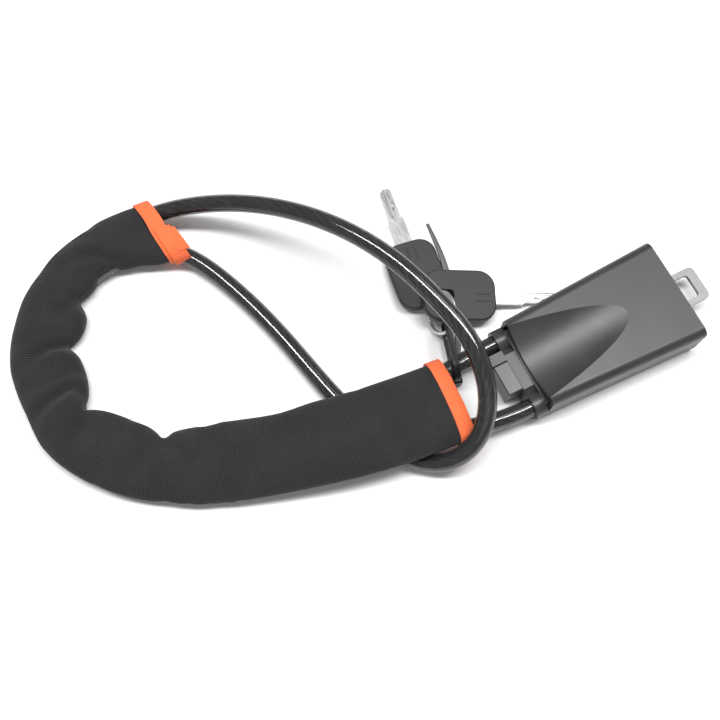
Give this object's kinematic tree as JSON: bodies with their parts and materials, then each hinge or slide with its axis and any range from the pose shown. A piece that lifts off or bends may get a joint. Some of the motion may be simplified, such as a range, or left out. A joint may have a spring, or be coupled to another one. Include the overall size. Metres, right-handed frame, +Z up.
{
  "type": "steering wheel cable lock",
  "caption": "Anti-theft cable lock: a head with a seat-belt tongue under a sliding shell, one sheathed steel cable in a padded fabric sleeve, and two keys on a ring.",
  "frame": {"origin": "mount base: on the surface that the head lies on, midway across the head and 60.6 mm from its cable end", "axes": "+X along the head from the cable end to the belt tongue, +Z up, +Y across the head towards the strand that carries the keys"},
  "size_m": [0.3674, 0.2219, 0.0555],
  "materials": {
    "shell_plastic": "fine satin texture",
    "casting": "satin",
    "cap_plastic": "satin",
    "tongue_steel": "plated, bright",
    "steel": "zinc plated",
    "brass": "machined",
    "glide": "smooth",
    "sheath": "smoky, glossy, see-through",
    "rope": "twisted strands",
    "sleeve_fabric": "woven, ribbed",
    "binding": "woven tape",
    "key_steel": "nickel plated",
    "key_plastic": "fine texture",
    "tie_plastic": "nylon"
  },
  "bodies": {
    "head": {"body_lower": "casting", "body_upper": "casting", "tongue": "tongue_steel", "tongue_rivet_1": "steel", "tongue_rivet_2": "steel", "stop_pin": "steel", "glide_strip_1": "glide", "glide_strip_2": "glide", "lock_barrel": "brass", "ferrule_upper": "steel", "ferrule_lower": "steel", "cable_sheath": "sheath", "cable_core": "rope", "sleeve": "sleeve_fabric", "sleeve_binding_left": "binding", "sleeve_binding_right": "binding", "cable_tie": "tie_plastic", "body_screw_1": "steel", "body_screw_2": "steel", "body_screw_3": "steel", "body_screw_4": "steel"},
    "shell": {"shell": "shell_plastic"},
    "plug": {"lock_plug": "brass", "cam": "steel", "cam_screw": "steel"},
    "bolt": {"bolt": "steel"},
    "cap": {"dust_cap": "cap_plastic"},
    "key_bunch": {"key_ring": "key_steel", "key_1_blade": "key_steel", "key_1_bow": "key_plastic", "key_2_blade": "key_steel", "key_2_bow": "key_plastic"}
  },
  "joints": [
    {"name": "shell_slide", "type": "slide", "parent": "head", "child": "shell", "axis": [1, 0, 0], "range_m": [0, 0.02]},
    {"name": "plug_turn", "type": "hinge", "parent": "head", "child": "plug", "pos_m": [-0.0518, -0.0013, 0.0115], "axis": [1, 0, 0], "range_deg": [0, 90]},
    {"name": "bolt_slide", "type": "slide", "parent": "head", "child": "bolt", "axis": [0, -1, 0], "range_m": [0, 0.0032]},
    {"name": "cap_pull", "type": "slide", "parent": "head", "child": "cap", "axis": [-1, 0, 0], "range_m": [0, 0.012]},
    {"name": "key_bunch_swing", "type": "hinge", "parent": "head", "child": "key_bunch", "pos_m": [-0.07096, 0.03837, 0.01239], "axis": [0, 0, 1], "range_deg": [0, 10]}
  ],
  "couplings": [
    {"joint": "bolt_slide", "follows": "plug_turn", "m_per_rad": 0.0019735}
  ]
}
